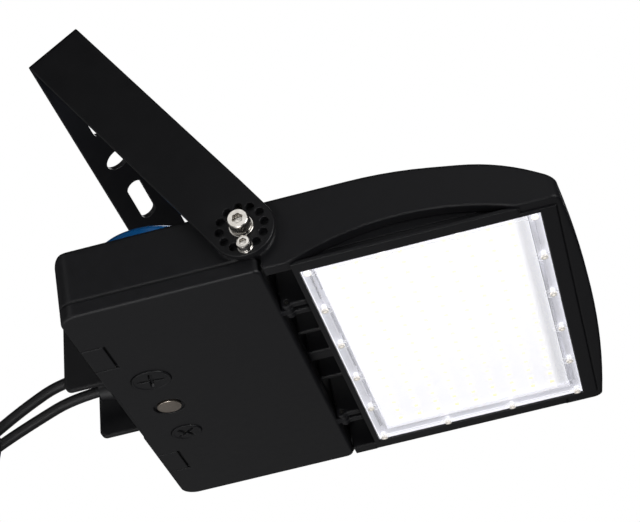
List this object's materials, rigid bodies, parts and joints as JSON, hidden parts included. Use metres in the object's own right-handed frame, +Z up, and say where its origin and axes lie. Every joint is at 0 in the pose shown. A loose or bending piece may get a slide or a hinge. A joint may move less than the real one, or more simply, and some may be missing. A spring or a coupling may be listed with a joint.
{
  "type": "flood light",
  "caption": "Flood light: a finned die-cast head with a flat lens that tilts in a steel yoke, with a hinged driver door, a twist-lock photocontrol and tied cables.",
  "frame": {"origin": "centre of the yoke crossbar's mounting face, on the wall", "axes": "+X out from the wall, +Y along the pivot axis, +Z up"},
  "size_m": [0.3455, 0.3468, 0.5291],
  "materials": {
    "powder_coated_casting": "matte black powder coat on die-cast aluminium",
    "powder_coated_steel": "matte black powder coat on bent steel strap",
    "stainless_steel": "stainless fasteners, as rolled",
    "zinc_steel": "zinc-plated steel",
    "brass_insert": "turned brass",
    "clear_lens": "clear polycarbonate lens over lit chips",
    "seal_rubber": "black silicone seal",
    "white_seal": "white silicone seal",
    "board_white": "white solder mask on aluminium board",
    "chip_phosphor": "yellow phosphor over the chip",
    "driver_case": "extruded aluminium case",
    "grey_plastic": "moulded grey plastic",
    "black_plastic": "moulded black nylon",
    "blue_plastic": "glossy blue ultraviolet-stable plastic",
    "window_clear": "clear moulded window",
    "cable_jacket": "black rubber cable jacket",
    "lead_plastic": "coloured wire insulation",
    "copper": "tinned copper strands"
  },
  "bodies": {
    "yoke": {"yoke_bracket": "powder_coated_steel", "lock_bolts": "stainless_steel", "lock_spring_washers": "stainless_steel", "lock_washers": "stainless_steel"},
    "head": {"bare_tips": "copper", "cable_glands": "black_plastic", "cable_ties": "black_plastic", "control_cable": "cable_jacket", "control_coil": "cable_jacket", "control_leads": "lead_plastic", "driver": "driver_case", "driver_brackets": "zinc_steel", "driver_screws": "zinc_steel", "gland_locknuts": "black_plastic", "gland_nuts": "black_plastic", "heat_sink": "powder_coated_casting", "hinge_pins": "stainless_steel", "housing": "powder_coated_casting", "led_board": "board_white", "led_chips": "chip_phosphor", "lens_frame": "powder_coated_casting", "lens_gasket": "white_seal", "lens_plate": "clear_lens", "lens_screws": "stainless_steel", "lock_inserts": "stainless_steel", "photocontrol_socket": "black_plastic", "pivot_bolts": "stainless_steel", "pivot_spring_washers": "stainless_steel", "pivot_washers": "stainless_steel", "power_cable": "cable_jacket", "power_coil": "cable_jacket", "power_leads": "lead_plastic", "socket_gasket": "seal_rubber", "surge_protector": "grey_plastic", "terminal_block": "grey_plastic"},
    "door": {"driver_door": "powder_coated_casting", "door_gasket": "seal_rubber", "breather_vent": "stainless_steel"},
    "near_screw": {"near_door_screw": "powder_coated_casting"},
    "far_screw": {"far_door_screw": "powder_coated_casting"},
    "photocontrol": {"photocontrol_cap": "blue_plastic", "sensor_window": "window_clear", "contact_blades": "brass_insert"}
  },
  "joints": [
    {"name": "head_tilt", "type": "hinge", "parent": "yoke", "child": "head", "pos_m": [0.2159, 0, 0], "axis": [0, 1, 0], "range_deg": [-90, 30]},
    {"name": "door_swing", "type": "hinge", "parent": "head", "child": "door", "pos_m": [0.24257, 0, -0.00423], "axis": [0, -1, 0], "range_deg": [0, 90]},
    {"name": "near_screw_turn", "type": "hinge", "parent": "door", "child": "near_screw", "pos_m": [0.19046, -0.045, -0.09799], "axis": [0.8554, 0, -0.518], "range_deg": [0, 90]},
    {"name": "far_screw_turn", "type": "hinge", "parent": "door", "child": "far_screw", "pos_m": [0.19046, 0.045, -0.09799], "axis": [0.8554, 0, -0.518], "range_deg": [0, 90]},
    {"name": "photocontrol_twist", "type": "hinge", "parent": "head", "child": "photocontrol", "pos_m": [0.14215, 0, -0.06675], "axis": [-0.8554, 0, 0.518], "range_deg": [0, 35]}
  ]
}
